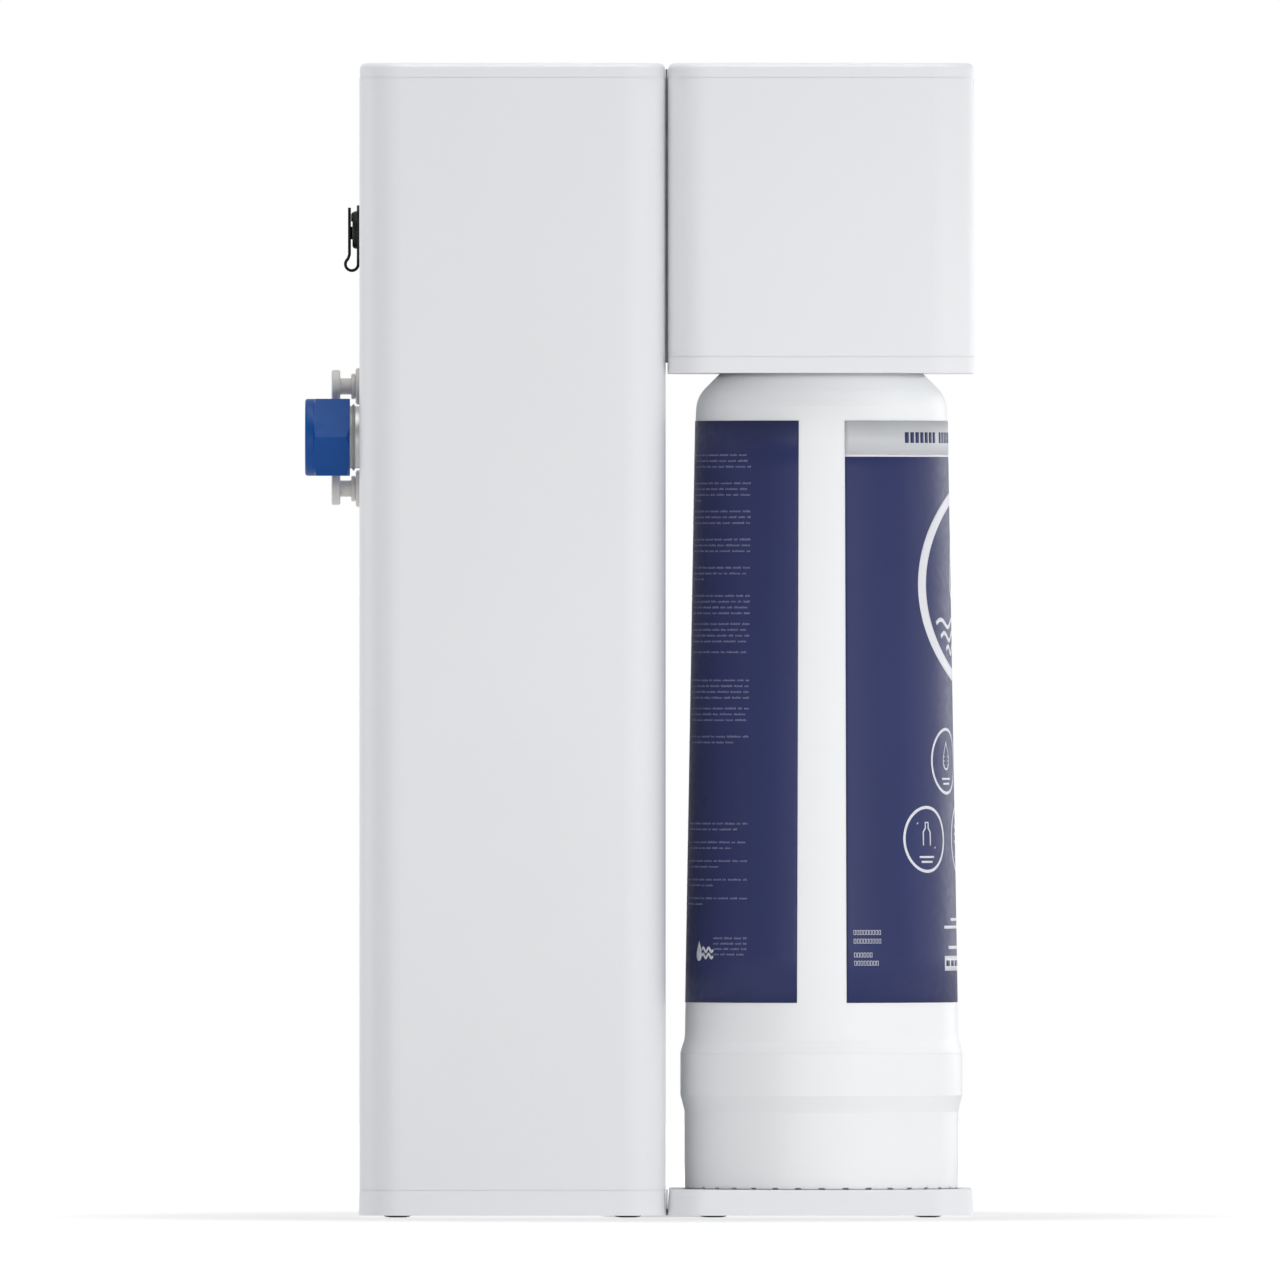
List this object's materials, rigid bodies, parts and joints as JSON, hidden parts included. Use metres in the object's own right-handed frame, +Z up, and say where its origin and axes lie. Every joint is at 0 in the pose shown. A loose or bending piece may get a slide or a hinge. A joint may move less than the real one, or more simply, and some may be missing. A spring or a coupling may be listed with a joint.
{
  "type": "reverse osmosis unit",
  "caption": "Square column with a side head over a round twist-lock membrane cartridge on a base plate, and water connections at the rear.",
  "frame": {"origin": "on the floor, under the middle of the overall box at rest", "axes": "+X from the rear connections towards the cartridge, +Y to the left when looking along +X, +Z up"},
  "size_m": [0.2614, 0.1202, 0.4508],
  "materials": {
    "housing": "satin powder coat",
    "white_plastic": "satin moulded",
    "cartridge_white": "smooth moulded",
    "label_print": "printed film",
    "blue_plastic": "moulded",
    "grey_plastic": "moulded",
    "dark_plastic": "moulded",
    "light_plastic": "moulded",
    "black_rubber": "moulded",
    "gasket_grey": "moulded",
    "zinc_steel": "zinc plated",
    "dark_steel": "phosphated",
    "nickel": "nickel plated brass",
    "motor_metal": "drawn steel can",
    "magnet": "ferrite",
    "copper_iron": "wound laminations",
    "coil_blue": "encapsulated",
    "turbine_blue": "moulded",
    "circuit_board": "solder mask",
    "components": "mixed",
    "cable_sheath": "sheath",
    "tube_clear": "polyethylene",
    "tube_blue": "polyethylene",
    "valve_grey": "glass-filled",
    "membrane": "wound sheet"
  },
  "bodies": {
    "housing": {"column_sleeve": "housing", "column_top_cap": "white_plastic", "column_base": "white_plastic", "base_plate": "white_plastic", "base_tie_plate": "dark_steel", "feet": "black_rubber", "head_sleeve": "housing", "head_top_cap": "white_plastic", "head_lid": "white_plastic", "head_gasket": "gasket_grey", "head_bolts": "zinc_steel", "chassis": "zinc_steel", "screws": "zinc_steel", "inlet_fitting": "nickel", "inlet_strainer": "light_plastic", "permeate_port": "grey_plastic", "drain_port": "grey_plastic", "panel_nuts": "grey_plastic", "port_seals": "black_rubber", "power_socket": "dark_plastic", "pump_bracket": "zinc_steel", "pump_grommets": "black_rubber", "pump_head": "dark_plastic", "pump_motor": "motor_metal", "motor_magnets": "magnet", "inlet_valve_body": "light_plastic", "inlet_valve_coil": "coil_blue", "inlet_valve_spring": "zinc_steel", "flow_meter": "light_plastic", "flow_restrictor": "light_plastic", "control_board": "circuit_board", "board_components": "components", "wiring": "cable_sheath", "tube_suction": "tube_clear", "tube_feed": "tube_clear", "tube_permeate": "tube_blue", "tube_drain": "tube_clear", "head_bracket": "zinc_steel", "valve_head": "valve_grey", "bayonet_ring": "valve_grey", "shutoff_spring": "zinc_steel", "pressure_switch": "dark_plastic"},
    "inlet_cap": {"inlet_cap": "blue_plastic"},
    "cap_washer": {"inlet_cap_washer": "black_rubber"},
    "permeate_collet": {"permeate_collet": "grey_plastic"},
    "drain_collet": {"drain_collet": "grey_plastic"},
    "permeate_plug": {"permeate_plug": "grey_plastic"},
    "drain_plug": {"drain_plug": "grey_plastic"},
    "socket_flap": {"socket_flap": "black_rubber"},
    "pump_rotor": {"pump_rotor": "copper_iron"},
    "flow_turbine": {"flow_turbine": "turbine_blue"},
    "valve_plunger": {"inlet_valve_plunger": "zinc_steel"},
    "shutoff_carrier": {"shutoff_plate": "light_plastic"},
    "cartridge": {"cartridge_tank": "cartridge_white", "cartridge_skirt": "cartridge_white", "cartridge_neck": "light_plastic", "neck_seals": "black_rubber", "membrane_roll": "membrane", "core_tube": "light_plastic", "cartridge_label": "label_print"}
  },
  "joints": [
    {"name": "cartridge_drop", "type": "slide", "parent": "housing", "child": "shutoff_carrier", "axis": [0, 0, -1], "range_m": [0, 0.006], "deforming": ["shutoff_spring"]},
    {"name": "cartridge_turn", "type": "hinge", "parent": "shutoff_carrier", "child": "cartridge", "pos_m": [0.0713, 0, 0.2], "axis": [0, 0, -1], "range_deg": [0, 60]},
    {"name": "inlet_cap_travel", "type": "slide", "parent": "housing", "child": "cap_washer", "axis": [-1, 0, 0], "range_m": [0, 0.01088]},
    {"name": "inlet_cap_turn", "type": "hinge", "parent": "cap_washer", "child": "inlet_cap", "pos_m": [-0.1193, -0.009, 0.3048], "axis": [-1, 0, 0], "range_deg": [0, 2160]},
    {"name": "permeate_collet_press", "type": "slide", "parent": "housing", "child": "permeate_collet", "axis": [1, 0, 0], "range_m": [0, 0.0011]},
    {"name": "drain_collet_press", "type": "slide", "parent": "housing", "child": "drain_collet", "axis": [1, 0, 0], "range_m": [0, 0.0011]},
    {"name": "permeate_plug_pull", "type": "slide", "parent": "housing", "child": "permeate_plug", "axis": [-1, 0, 0], "range_m": [0, 0.025]},
    {"name": "drain_plug_pull", "type": "slide", "parent": "housing", "child": "drain_plug", "axis": [-1, 0, 0], "range_m": [0, 0.025]},
    {"name": "socket_flap_swing", "type": "hinge", "parent": "housing", "child": "socket_flap", "pos_m": [-0.1125, 0, 0.3726], "axis": [0, -1, 0], "range_deg": [0, 120]},
    {"name": "pump_spin", "type": "hinge", "parent": "housing", "child": "pump_rotor", "pos_m": [-0.0473, 0, 0.1], "axis": [0, 0, 1], "continuous": true},
    {"name": "flow_turbine_spin", "type": "hinge", "parent": "housing", "child": "flow_turbine", "pos_m": [-0.0683, -0.009, 0.267], "axis": [0, 0, 1], "continuous": true},
    {"name": "inlet_valve_lift", "type": "slide", "parent": "housing", "child": "valve_plunger", "axis": [0, 0, 1], "range_m": [0, 0.003], "stiffness_N_per_m": 200, "springref_m": -0.004, "deforming": ["inlet_valve_spring"]}
  ],
  "couplings": [
    {"joint": "cartridge_drop", "follows": "cartridge_turn", "m_per_rad": 0.0057296},
    {"joint": "inlet_cap_travel", "follows": "inlet_cap_turn", "m_per_rad": 0.00028871}
  ]
}
